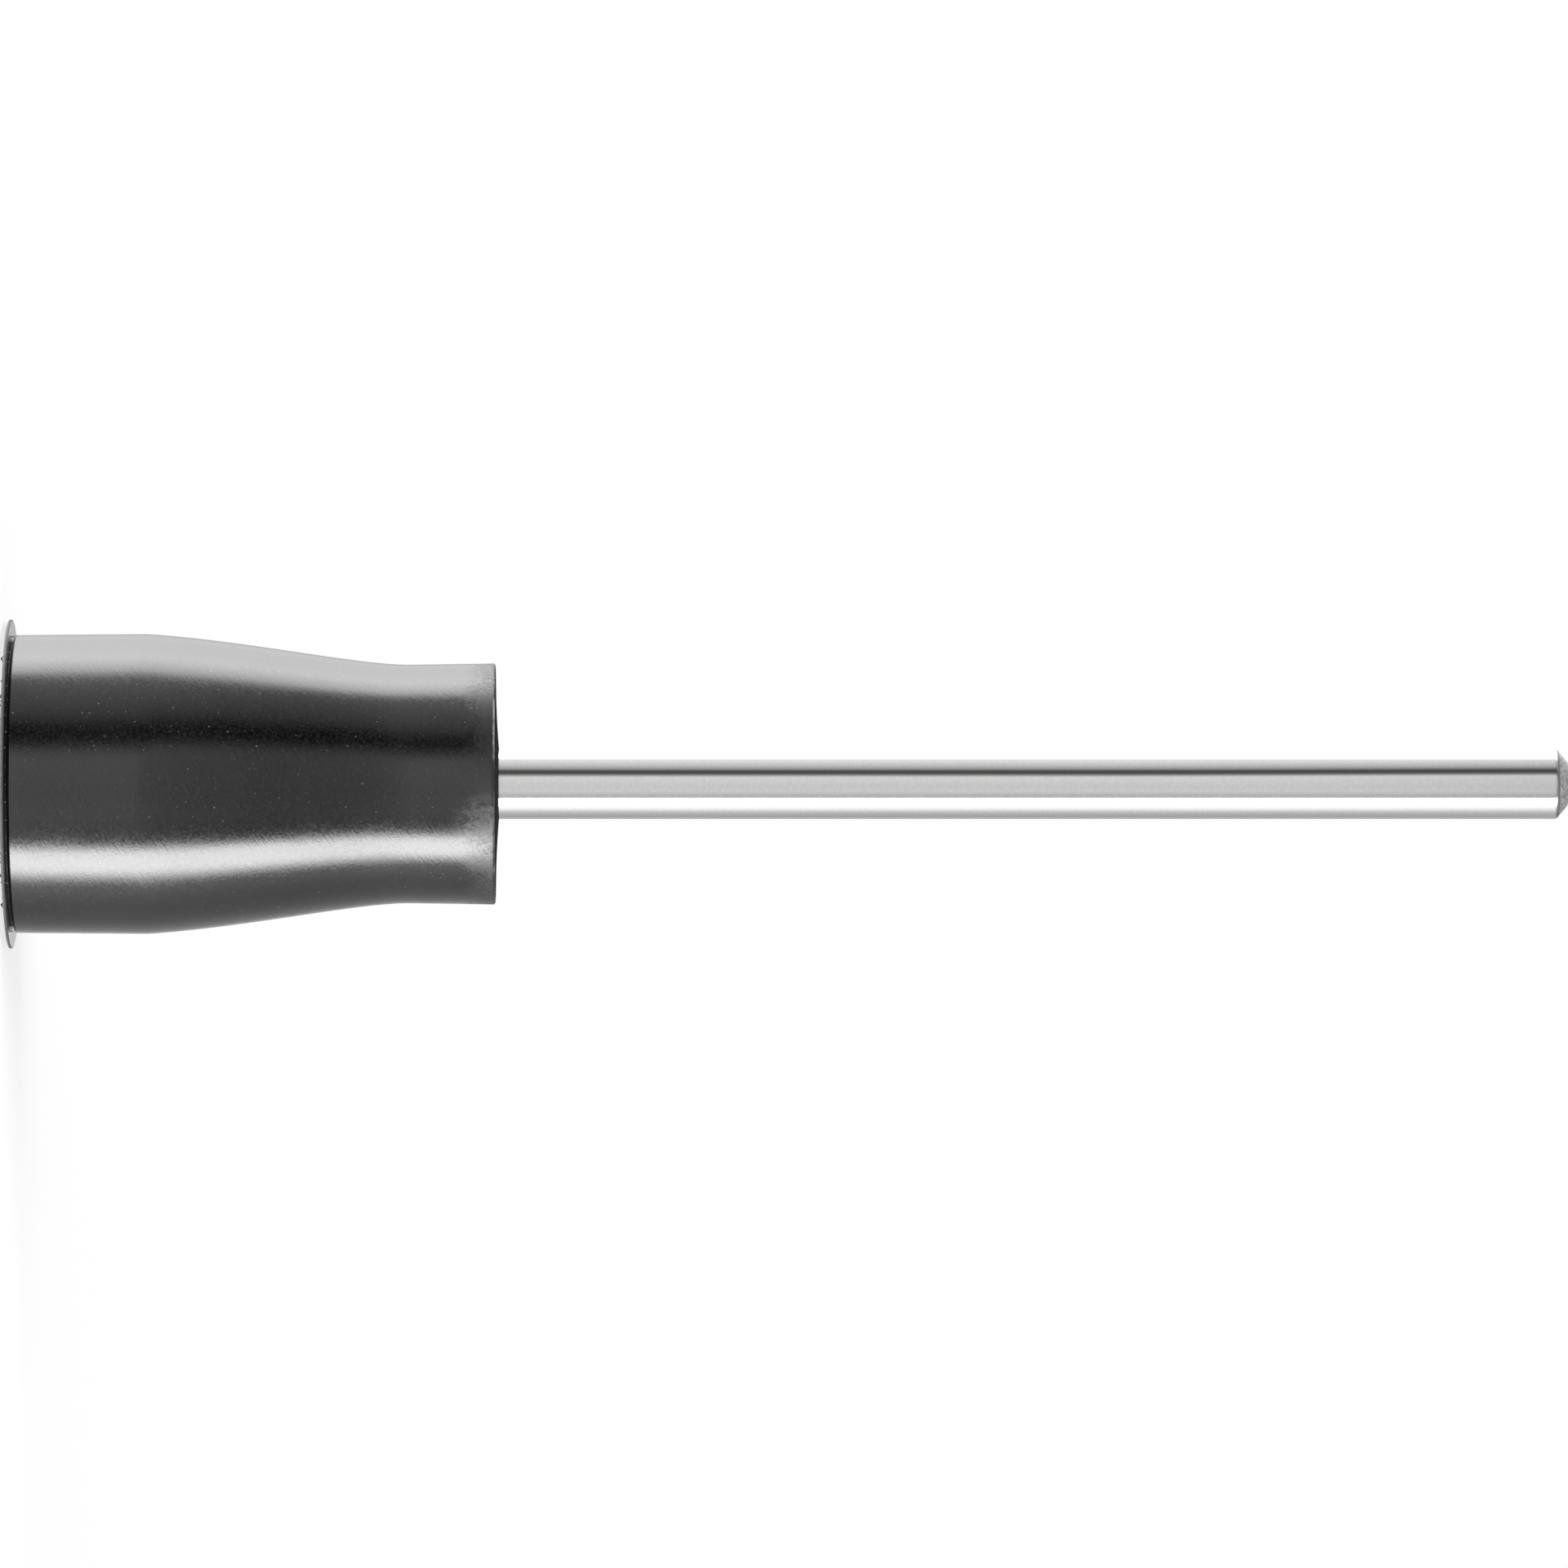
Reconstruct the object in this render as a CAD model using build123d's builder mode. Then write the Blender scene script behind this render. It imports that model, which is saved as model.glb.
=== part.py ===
from build123d import *
import os
from math import cos, pi, sin

# Holder for loop-backed sanding pads, in millimetres.
# It stands on its hooks: Z runs up along the shank, and the origin is at the middle of the hook face.

# Rubber body, from its front face to its rear face
barrel_length = 5.84
taper_length = 10.07
collar_length = 4.6
face_diameter = 12.72
barrel_swell = 0.05
waist_diameter = 10.16
collar_flare = 0.07
taper_belly = 0.065
shoulder_blend = 0.45
waist_blend = 1.1
front_edge_radius = 0.12
rear_edge_bevel = 0.1
rear_crown = 0.14
crown_land = 0.5

# Shank, outside the rubber
shank_diameter = 3.0
shank_reach = 45.8
bevel_length = 0.5
bevel_depth = 0.6
bevel_blend = 0.1

# Shank, bonded inside the rubber
rubber_in_front = 4.5
neck_length = 0.8
neck_depth = 0.2
knurl_teeth = 16
knurl_rise = 0.08
knurl_depth = 0.2
lock_groove_width = 1.2
lock_groove_depth = 0.2
lock_groove_setback = 3.0
bonded_end_bevel = 0.3

# Adhesive film between the disc and the rubber
film_thickness = 0.12
film_setback = 0.26

# Hook disc: the sheet and the hooks moulded on its front face
sheet_thickness = 0.13
sheet_overhang = 0.665
hook_border = 1.1
hook_pitch = 0.95
row_pitch = 0.9
hook_height = 0.22
hook_root = 0.26
hook_neck = 0.09
hook_reach = 0.22
hook_nose_drop = 0.13
hook_width = 0.18
crown_bevel = 0.05
root_sink = 0.03

# Radii that follow from the sizes above
face_radius = face_diameter / 2
shoulder_radius = face_radius + barrel_swell
waist_radius = waist_diameter / 2
rear_radius = waist_radius + collar_flare
shank_radius = shank_diameter / 2
tip_radius = shank_radius - bevel_depth
neck_radius = shank_radius - neck_depth
crest_radius = shank_radius + knurl_rise
knurl_root_radius = crest_radius - knurl_depth
lock_groove_radius = knurl_root_radius - lock_groove_depth
land_radius = shank_radius + crown_land
film_radius = face_radius - film_setback
sheet_radius = face_radius + sheet_overhang
field_radius = sheet_radius - hook_border

# Heights above the hook crowns
sheet_z = hook_height
film_z = sheet_z + sheet_thickness
face_z = film_z + film_thickness
shoulder_z = face_z + barrel_length
waist_z = shoulder_z + taper_length
rear_z = waist_z + collar_length
crown_z = rear_z + rear_crown
tip_z = rear_z + shank_reach
bonded_end_z = face_z + rubber_in_front
knurl_top_z = crown_z - neck_length
lock_groove_z = bonded_end_z + lock_groove_setback

# Shank: the knurled end first, then the relief neck and the ground rod in one turned profile
with BuildPart() as shank:
    with BuildSketch(Plane.XY.offset(bonded_end_z)):
        tooth_angle = pi / knurl_teeth
        knurl_radii = [crest_radius, knurl_root_radius] * knurl_teeth
        knurl_points = [
            (radius * cos(step * tooth_angle), radius * sin(step * tooth_angle))
            for step, radius in enumerate(knurl_radii)
        ]
        Polygon(*knurl_points, align=None)
    extrude(amount=knurl_top_z - bonded_end_z)

    # The locking groove round the knurl
    with BuildSketch(Plane.XY.offset(lock_groove_z)):
        Circle(crest_radius + knurl_rise)
        Circle(lock_groove_radius, mode=Mode.SUBTRACT)
    extrude(amount=lock_groove_width, mode=Mode.SUBTRACT)

    # The bevel that lets the knurled end into the mould
    with BuildSketch(Plane.XZ):
        with BuildLine():
            Polyline(
                (crest_radius - bonded_end_bevel, bonded_end_z),
                (crest_radius, bonded_end_z),
                (crest_radius, bonded_end_z + bonded_end_bevel),
                close=True,
            )
        make_face()
    revolve(axis=Axis.Z, mode=Mode.SUBTRACT)

    with BuildSketch(Plane.XZ) as rod_profile:
        with BuildLine():
            Polyline(
                (0, knurl_top_z),
                (neck_radius, knurl_top_z),
                (neck_radius, crown_z),
                (shank_radius, crown_z),
                (shank_radius, tip_z - bevel_length),
                (tip_radius, tip_z),
                (0, tip_z),
                close=True,
            )
        make_face()
        bevel_corners = ((shank_radius, tip_z - bevel_length), (tip_radius, tip_z))
        for corner in bevel_corners:
            fillet(rod_profile.vertices().sort_by_distance(corner)[0], bevel_blend)
    revolve(axis=Axis.Z)

# Rubber body: one moulding, turned from its outline, with the bonded end of the shank moulded in.
# Its rear face is crowned a little, up to a flat land round the shank.
with BuildPart() as rubber_body:
    with BuildSketch(Plane.XZ) as body_profile:
        face_corner = (face_radius, face_z)
        shoulder_corner = (shoulder_radius, shoulder_z)
        waist_corner = (waist_radius, waist_z)
        rear_corner = (rear_radius, rear_z)
        with BuildLine():
            barrel = Line(face_corner, shoulder_corner, mode=Mode.PRIVATE)
            taper = SagittaArc(shoulder_corner, waist_corner, -taper_belly, mode=Mode.PRIVATE)
            collar = Line(waist_corner, rear_corner, mode=Mode.PRIVATE)
            barrel_end = barrel @ (1 - shoulder_blend / barrel_length)
            collar_start = collar @ (waist_blend / collar_length)
            Polyline(collar_start, rear_corner, (land_radius, crown_z), (0, crown_z))
            Polyline((0, crown_z), (0, face_z), face_corner, barrel_end)
            Spline(
                barrel_end,
                taper @ (shoulder_blend / taper_length),
                taper @ 0.5,
                taper @ (1 - waist_blend / taper_length),
                collar_start,
                tangents=(barrel % 1, collar % 0),
            )
        make_face()
        fillet(body_profile.vertices().sort_by_distance(face_corner)[0], front_edge_radius)
        chamfer(body_profile.vertices().sort_by_distance(rear_corner)[0], rear_edge_bevel)
    revolve(axis=Axis.Z)
    add(shank.part, mode=Mode.SUBTRACT)

# Adhesive film: set back from the rubber's edge, so that it shows as a dark line
with BuildPart() as adhesive_film:
    with BuildSketch(Plane.XY.offset(film_z)):
        Circle(film_radius)
    extrude(amount=film_thickness)

# One hook, with its root sunk in the sheet and its nose turned over towards X
with BuildPart() as hook:
    with BuildSketch(Plane.XZ):
        with BuildLine():
            Polyline(
                (-hook_root / 2, sheet_z + root_sink),
                (-hook_root / 2, sheet_z),
                (-hook_neck / 2, crown_bevel),
                (crown_bevel - hook_neck / 2, 0),
                (hook_reach - crown_bevel, 0),
                (hook_reach, crown_bevel),
                (hook_reach, hook_nose_drop),
                (hook_reach - hook_neck / 2, hook_neck),
                (hook_neck / 2, hook_neck),
                (hook_root / 2, sheet_z),
                (hook_root / 2, sheet_z + root_sink),
                close=True,
            )
        make_face()
    extrude(amount=hook_width / 2, both=True)

# Hook disc: rows that face forwards, and between them rows that face back, half a pitch along
with BuildPart() as hook_disc:
    with BuildSketch(Plane.XY.offset(sheet_z)):
        Circle(sheet_radius)
    extrude(amount=sheet_thickness)

    columns = int(field_radius / hook_pitch)
    rows = int(field_radius / row_pitch / 2)
    forward = GridLocations(hook_pitch, 2 * row_pitch, 2 * columns + 1, 2 * rows + 1)
    back = GridLocations(hook_pitch, 2 * row_pitch, 2 * columns + 2, 2 * rows + 2)
    half_turn = Location((0, 0, 0), (0, 0, 180))
    places = [place for place in forward if place.position.length < field_radius]
    places += [place * half_turn for place in back if place.position.length < field_radius]
    with Locations(*places):
        add(hook.part)

shank.part.label = "shank"
rubber_body.part.label = "rubber_body"
adhesive_film.part.label = "adhesive_film"
hook_disc.part.label = "hook_disc"

os.makedirs("parts", exist_ok=True)
export_step(shank.part, "parts/shank.step")
export_step(rubber_body.part, "parts/rubber_body.step")
export_step(adhesive_film.part, "parts/adhesive_film.step")
export_step(hook_disc.part, "parts/hook_disc.step")
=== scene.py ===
"""Looks of the pad holder: a rubber body on a steel shank, with a disc of moulded hooks on its face.

Every length is in metres. The tool stands on its hooks, and Z runs up along the shank.
"""

from __future__ import annotations

import logging
import math
from dataclasses import dataclass
from enum import Enum
from typing import Any, Callable, Iterable, Sequence

import bmesh
import bpy
import numpy as np
from mathutils import Matrix, Vector


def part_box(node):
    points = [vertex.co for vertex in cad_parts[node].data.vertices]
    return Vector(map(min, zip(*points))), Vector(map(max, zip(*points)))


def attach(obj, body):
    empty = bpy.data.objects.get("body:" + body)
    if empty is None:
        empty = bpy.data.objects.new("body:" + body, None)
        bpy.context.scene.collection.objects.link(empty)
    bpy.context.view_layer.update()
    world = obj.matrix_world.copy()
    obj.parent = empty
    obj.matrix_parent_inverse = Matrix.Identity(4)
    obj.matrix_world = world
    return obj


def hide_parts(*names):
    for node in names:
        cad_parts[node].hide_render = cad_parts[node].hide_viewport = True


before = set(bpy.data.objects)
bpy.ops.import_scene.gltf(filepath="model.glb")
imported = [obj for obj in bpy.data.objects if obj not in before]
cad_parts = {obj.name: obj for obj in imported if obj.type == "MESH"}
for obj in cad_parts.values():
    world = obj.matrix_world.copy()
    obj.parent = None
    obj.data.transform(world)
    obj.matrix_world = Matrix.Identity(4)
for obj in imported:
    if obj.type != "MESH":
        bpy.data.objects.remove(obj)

MM = 0.001
LOG = logging.getLogger("pad_holder")

Value = Any
Material, Mesh, Piece = bpy.types.Material, bpy.types.Mesh, bpy.types.Object
Node, Socket = bpy.types.Node, bpy.types.NodeSocket
Inputs = dict[str | int, Value]
Outline = list[tuple[float, float]]
Range = tuple[float, float]
Shares = tuple[float, float, int]
Spot = tuple[float, float, float]


class CadNode(Enum):
    """The solids that the pieces stand for."""

    SHANK = "shank"
    RUBBER = "rubber_body"
    FILM = "adhesive_film"
    DISC = "hook_disc"


class FinishSlot(Enum):
    """The material slots of the record."""

    STEEL = "steel"
    RUBBER = "rubber"
    ADHESIVE = "adhesive"
    NYLON = "hook_plastic"


class Wiring:
    """Lays out the nodes of one tree and joins them."""

    def __init__(self, tree: bpy.types.NodeTree) -> None:
        """Starts on a shader or geometry tree, and removes what it held."""
        self.tree = tree
        self.tree.nodes.clear()

    def put(self, kind: str, inputs: Inputs | None = None, **settings: Value) -> Node:
        """Adds a node.

        Args:
            kind: the node's type name.
            inputs: values or sockets for its inputs, by name or by number.
            settings: properties to set on the node first.

        Returns:
            The node.
        """
        node = self.tree.nodes.new(kind)
        for name, value in settings.items():
            setattr(node, name, value)
        for key, value in (inputs or {}).items():
            self.feed(node, key, value)
        return node

    def out(self, kind: str, inputs: Inputs | None = None, **settings: Value) -> Socket:
        """Adds a node as put does and returns the first output that it shows."""
        return next(socket for socket in self.put(kind, inputs, **settings).outputs if socket.enabled)

    def feed(self, node: Node, key: str | int, value: Value) -> None:
        """Sets or links one input of a node.

        Args:
            node: the node that takes the value.
            key: the input's name or number; hidden inputs of that name are passed over.
            value: a number, a tuple, a data block or another node's output.
        """
        if isinstance(key, int):
            socket = node.inputs[key]
        else:
            socket = next(s for s in node.inputs if s.name == key and s.enabled)
        if isinstance(value, Socket):
            self.tree.links.new(value, socket)
        else:
            socket.default_value = value

    def math(self, operation: str, *values: Value) -> Socket:
        """Adds a Math node and returns its result."""
        return self.out("ShaderNodeMath", dict(enumerate(values)), operation=operation)

    def times(self, first: Value, second: Value) -> Socket:
        """Multiplies two numbers."""
        return self.math("MULTIPLY", first, second)

    def vector(self, operation: str, *values: Value) -> Socket:
        """Adds a Vector Math node and returns its result."""
        return self.out("ShaderNodeVectorMath", dict(enumerate(values)), operation=operation)

    def ramp(self, value: Value, low: float, high: float, bottom: float = 0.0, top: float = 1.0) -> Socket:
        """Maps a value smoothly, from bottom where it is at low to top where it is at high."""
        inputs = {"Value": value, "From Min": low, "From Max": high, "To Min": bottom, "To Max": top}
        return self.out("ShaderNodeMapRange", inputs, interpolation_type="SMOOTHSTEP")

    def blend(self, share: Value, first: Value, second: Value) -> Socket:
        """Mixes two numbers by a share from 0 to 1."""
        return self.out("ShaderNodeMix", {"Factor": share, "A": first, "B": second}, data_type="FLOAT")

    def tint(self, share: Value, first: Value, second: Value) -> Socket:
        """Mixes two colours by a share from 0 to 1."""
        return self.out("ShaderNodeMix", {0: share, 6: first, 7: second}, data_type="RGBA")


def grey(level: float, warmth: float = 0.0) -> tuple[float, float, float, float]:
    """Returns a grey colour, a little warmer or cooler by the share warmth."""
    return (level * (1 + warmth), level, level * (1 - warmth), 1.0)


class Paint(Wiring):
    """Lays out one finish by the piece's own coordinates."""

    def __init__(self, name: str) -> None:
        """Starts a material.

        Args:
            name: the finish's name.
        """
        self.material = bpy.data.materials.new(name)
        self.material.use_nodes = True
        super().__init__(self.material.node_tree)
        self.place = self.put("ShaderNodeTexCoord").outputs["Object"]

    def height(self) -> Socket:
        """Returns the height above the hook crowns."""
        return self.put("ShaderNodeSeparateXYZ", {0: self.place}).outputs["Z"]

    def noise(self, size: float, detail: float = 2.0, roughness: float = 0.5, place: Value = None) -> Socket:
        """Returns a noise's grey value, with blobs of about a size, on the piece or at a place of its own."""
        inputs = {"Vector": place or self.place, "Scale": 1 / size, "Detail": detail, "Roughness": roughness}
        return self.out("ShaderNodeTexNoise", inputs)

    def near(self, spot: Spot, reach: float, core: float, most: float = 1.0) -> Socket:
        """Rises from 0 at the reach from a spot to most at the share core of that distance."""
        return self.ramp(self.vector("DISTANCE", self.place, spot), reach, reach * core, 0.0, most)

    def bump(self, height: Value, rise: float, under: Socket | None = None, strength: Value = 1.0) -> Socket:
        """Adds relief, in which a height of 1 stands up by rise, over the relief under it."""
        inputs = {"Height": height, "Distance": rise, "Strength": strength}
        return self.out("ShaderNodeBump", inputs | ({"Normal": under} if under else {}))

    def layer(self, share: Value, first: Value, second: Value) -> Socket:
        """Mixes two shaders by a share from 0 to 1."""
        return self.out("ShaderNodeMixShader", {0: share, 1: first, 2: second})

    def close(self, surface: Socket) -> Material:
        """Joins a shader to the material's output and returns the material."""
        self.put("ShaderNodeOutputMaterial", {"Surface": surface})
        return self.material

    def coat(self, colour: Value, roughness: Value, **others: Value) -> Material:
        """Ends the finish in one plain shader.

        Args:
            colour: the base colour.
            roughness: the roughness.
            others: the shader's other inputs, with _ for each blank in a name.

        Returns:
            The material.
        """
        inputs = {"Base_Color": colour, "Roughness": roughness} | others
        inputs = {name.replace("_", " "): value for name, value in inputs.items()}
        return self.close(self.out("ShaderNodeBsdfPrincipled", inputs))


@dataclass(frozen=True)
class MouldedRubber:
    """Glossy black rubber with a fine grain, slanting scuffs, dust and a worn rear rim, with a painted sheen beside
    the lower highlight and a painted highlight on the rear edge.
    """

    black: float = 0.0
    pale: float = 0.003
    cloud_size: float = 3.0 * MM
    gloss_index: float = 1.56
    roughness: float = 0.175
    speckle_size: float = 0.12 * MM
    speckle_grey: float = 0.007
    scuff_twist: float = 300.0
    scuff_spacing: float = 0.2 * MM
    scuff_length: float = 0.4 * MM
    scuff_height: float = 0.0062 * MM
    scuff_patch: float = 2.6 * MM
    grain_size: float = 0.09 * MM
    grain_height: float = 0.0026 * MM
    dust_spacing: float = 0.2 * MM
    dust_radius: float = 0.05 * MM
    dust_faint: float = 0.02
    dust_bright: float = 0.12
    chalk_place: Spot = (4.0 * MM, -3.16 * MM, 17.2 * MM)
    chalk_reach: float = 2.2 * MM
    # painted sheen: pale blotches at one spot of the worn band, beside the lower highlight
    sheen_place: Spot = (1.9 * MM, -4.75 * MM, 20.8 * MM)
    sheen_reach: float = 1.85 * MM
    sheen_blotch: float = 0.25 * MM
    sheen_grey: float = 0.12
    # rear edge: pale wear patches all round, and dashes of painted highlight near one spot
    highlight_place: Spot = (-2.5 * MM, -4.5 * MM, 21.0 * MM)
    highlight_reach: float = 1.7 * MM
    edge_rise: Range = (20.94 * MM, 20.99 * MM)
    highlight_dash: float = 0.4 * MM
    edge_patch: float = 1.6 * MM
    edge_wear_and_highlight_grey: float = 0.24
    worn_rise: Range = (19.4 * MM, 20.9 * MM)
    worn_patch: float = 0.6 * MM
    worn_wander: float = 2.0 * MM
    worn_grey: float = 0.006
    worn_roughness: float = 0.41

    def scuffs(self, paint: Paint) -> Socket:
        """Makes streaks that run round the body like a steep screw thread, stronger in some patches.

        Args:
            paint: the finish being laid out.

        Returns:
            A height from 0 to 1 whose ridges lie along the streaks.
        """
        angle = paint.times(paint.height(), -self.scuff_twist)
        turned = paint.out("ShaderNodeVectorRotate", {"Vector": paint.place, "Angle": angle}, rotation_type="Z_AXIS")
        across, along = 1 / self.scuff_spacing, 1 / self.scuff_length
        streaks = paint.noise(1.0, 3.0, 0.6, paint.vector("MULTIPLY", turned, (across, across, along)))
        patches = paint.noise(self.scuff_patch, 1.0)
        return paint.times(streaks, paint.ramp(patches, 0.35, 0.65, 0.35, 1.0))

    def dust(self, paint: Paint) -> tuple[Socket, Socket]:
        """Makes scattered specks, thicker in a chalky patch near the waist.

        Args:
            paint: the finish being laid out.

        Returns:
            The cover, which is 1 in the middle of a speck and 0 beside it, and the speck's colour.
        """
        cells = paint.put("ShaderNodeTexVoronoi", {"Vector": paint.place, "Scale": 1 / self.dust_spacing}).outputs
        size, tone, _ = paint.put("ShaderNodeSeparateColor", {0: cells["Color"]}).outputs
        size = paint.math("ADD", size, paint.near(self.chalk_place, self.chalk_reach, 0.3, 0.3))
        limit = paint.ramp(size, 0.2, 1.1, 0.0, self.dust_radius / self.dust_spacing)
        cover = paint.ramp(paint.math("SUBTRACT", limit, cells["Distance"]), 0.0, 0.04)
        bright = paint.math("POWER", tone, 3.0)
        return cover, paint.tint(bright, grey(self.dust_faint), grey(self.dust_bright))

    def worn_rim(self, paint: Paint) -> Socket:
        """Makes the uneven band of wear at the rear rim, from 0 on the plain rubber to 1 at the rim."""
        wander = paint.times(paint.math("SUBTRACT", paint.noise(self.worn_patch, 5.0, 0.7), 0.5), self.worn_wander)
        return paint.ramp(paint.math("ADD", paint.height(), wander), *self.worn_rise)

    def painted_sheen(self, paint: Paint) -> Socket:
        """Makes the painted sheen: pale blotches on the worn band at one spot beside the lower highlight, from 0 on
        the plain rubber up to 1.
        """
        blotches = paint.noise(self.sheen_blotch, 3.0, 0.6)
        return paint.times(paint.near(self.sheen_place, self.sheen_reach, 0.35), paint.ramp(blotches, 0.3, 0.65))

    def rubbed_edge_and_highlight(self, paint: Paint) -> Socket:
        """Makes the pale places along the rear edge: wear patches all round it, and dashes near one spot that are a
        painted highlight where the rim catches the light.

        Args:
            paint: the finish being laid out.

        Returns:
            0 on the plain rubber and up to 1 on the edge.
        """
        highlight_dashes = paint.ramp(paint.noise(self.highlight_dash, 2.0, 0.7), 0.35, 0.6)
        patches = paint.ramp(paint.noise(self.edge_patch, 3.0, 0.7), 0.55, 0.7)
        # the dashes near one spot are a painted highlight on the rim
        highlight_dashes = paint.times(paint.near(self.highlight_place, self.highlight_reach, 0.7), highlight_dashes)
        edge = paint.ramp(paint.height(), *self.edge_rise)
        return paint.times(edge, paint.math("MAXIMUM", highlight_dashes, patches))

    def material(self) -> Material:
        """Builds the finish.

        Returns:
            The material.
        """
        paint = Paint("moulded_rubber")
        worn, (dust, dust_colour) = self.worn_rim(paint), self.dust(paint)
        cloud = paint.noise(self.cloud_size, 3.0)
        speckles = paint.noise(self.speckle_size, 2.0, 0.6)
        colour = paint.tint(paint.ramp(cloud, 0.38, 0.72), grey(self.black), grey(self.pale))
        layers = (
            (paint.ramp(speckles, 0.42, 0.7), self.speckle_grey),
            (worn, self.worn_grey),
            # the painted sheen beside the lower highlight
            (self.painted_sheen(paint), self.sheen_grey),
            (self.rubbed_edge_and_highlight(paint), self.edge_wear_and_highlight_grey),
        )
        for cover, level in layers:
            colour = paint.tint(cover, colour, grey(level))
        colour = paint.tint(dust, colour, dust_colour)

        rough = paint.ramp(cloud, 0.3, 0.7, self.roughness * 0.9, self.roughness * 1.15)
        rough = paint.blend(worn, rough, self.worn_roughness)
        rough = paint.times(rough, paint.ramp(speckles, 0.35, 0.65, 0.78, 1.22))

        relief = paint.bump(self.scuffs(paint), self.scuff_height)
        relief = paint.bump(paint.noise(self.grain_size, 2.0, 0.6), self.grain_height, relief)
        return paint.coat(colour, rough, IOR=self.gloss_index, Normal=relief)


@dataclass(frozen=True)
class MattRubber:
    """Black rubber as the mould's matt end plate leaves it."""

    black: float = 0.010
    pale: float = 0.035
    roughness: float = 0.9
    gloss: float = 0.0
    grain_size: float = 0.12 * MM
    grain_height: float = 0.006 * MM

    def material(self) -> Material:
        """Builds the finish.

        Returns:
            The material.
        """
        paint = Paint("matt_rubber")
        grain = paint.noise(self.grain_size, 3.0)
        colour = paint.tint(paint.ramp(grain, 0.35, 0.65), grey(self.black), grey(self.pale))
        relief = paint.bump(grain, self.grain_height)
        return paint.coat(colour, self.roughness, Specular_IOR_Level=self.gloss, Normal=relief)


@dataclass(frozen=True)
class GroundSteel:
    """Bright steel, ground round and polished, with a rough bevelled tip."""

    bright: float = 0.60
    warmth: float = 0.003
    dull: float = 0.52
    edge_line_grey: float = 0.27
    roughness: float = 0.08
    tip_roughness: float = 0.42
    line_spacing: float = 0.05 * MM
    line_width: float = 5 * MM
    line_height: float = 0.00008 * MM
    pit_size: float = 0.12 * MM
    pit_height: float = 0.006 * MM
    tip_rise: Range = (66.27 * MM, 66.33 * MM)
    edge_height: float = 66.325 * MM
    edge_width: float = 0.075 * MM

    def material(self) -> Material:
        """Builds the finish.

        Returns:
            The material.
        """
        paint = Paint("ground_steel")
        height = paint.height()
        tip = paint.ramp(height, *self.tip_rise)
        across, along = 1 / self.line_width, 1 / self.line_spacing
        lines = paint.noise(1.0, place=paint.vector("MULTIPLY", paint.place, (across, across, along)))
        pits = paint.noise(self.pit_size, 3.0)

        ground = paint.tint(pits, grey(self.bright * 0.93, self.warmth), grey(self.bright * 1.07, self.warmth))
        mottle = paint.tint(paint.ramp(pits, 0.35, 0.65), grey(self.dull * 0.7), grey(self.dull * 1.3))
        # a darker ring of colour round the steel at the bevel's edge
        off_edge = paint.math("ABSOLUTE", paint.math("SUBTRACT", height, self.edge_height))
        edge = paint.ramp(off_edge, self.edge_width, self.edge_width * 0.3)
        colour = paint.tint(edge, paint.tint(tip, ground, mottle), grey(self.edge_line_grey))
        rough = paint.ramp(lines, 0.3, 0.7, self.roughness * 0.95, self.roughness * 1.05)
        rough = paint.blend(tip, rough, self.tip_roughness)
        relief = paint.bump(pits, self.pit_height, paint.bump(lines, self.line_height), tip)
        return paint.coat(colour, rough, Metallic=1.0, Normal=relief)


@dataclass(frozen=True)
class ContactAdhesive:
    """Black adhesive, dull, with a lumpy edge."""

    black: float = 0.03
    gloss_index: float = 1.45
    lump_size: float = 0.35 * MM
    lump_height: float = 0.02 * MM

    def material(self) -> Material:
        """Builds the finish.

        Returns:
            The material.
        """
        paint = Paint("contact_adhesive")
        lumps = paint.noise(self.lump_size)
        colour = paint.tint(lumps, grey(self.black), grey(self.black * 2.5))
        rough = paint.ramp(lumps, 0.3, 0.7, 0.45, 0.65)
        return paint.coat(colour, rough, IOR=self.gloss_index, Normal=paint.bump(lumps, self.lump_height))


@dataclass(frozen=True)
class DriedBead:
    """Adhesive that has been squeezed out and has dried pale and glassy."""

    dark: float = 0.10
    pale: float = 0.45
    tone_size: float = 0.3 * MM
    roughness: float = 0.3
    gloss_index: float = 1.45

    def material(self) -> Material:
        """Builds the finish.

        Returns:
            The material.
        """
        paint = Paint("dried_bead")
        tone = paint.ramp(paint.noise(self.tone_size, 1.0), 0.35, 0.65)
        return paint.coat(paint.tint(tone, grey(self.dark), grey(self.pale)), self.roughness, IOR=self.gloss_index)


@dataclass(frozen=True)
class HookNylon:
    """Black moulded nylon, satin, with a fine grain from the mould."""

    black: float = 0.06
    haze_size: float = 1.6 * MM
    roughness: float = 0.17
    gloss_index: float = 1.53
    grain_size: float = 0.09 * MM
    grain_height: float = 0.0015 * MM

    def material(self) -> Material:
        """Builds the finish.

        Returns:
            The material.
        """
        paint = Paint("hook_nylon")
        grain = paint.noise(self.grain_size, 3.0)
        haze = paint.noise(self.haze_size)
        colour = paint.tint(paint.ramp(haze, 0.35, 0.65), grey(self.black), grey(self.black * 1.2))
        rough = paint.ramp(grain, 0.3, 0.7, self.roughness * 0.85, self.roughness * 1.2)
        return paint.coat(colour, rough, IOR=self.gloss_index, Normal=paint.bump(grain, self.grain_height))


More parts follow.
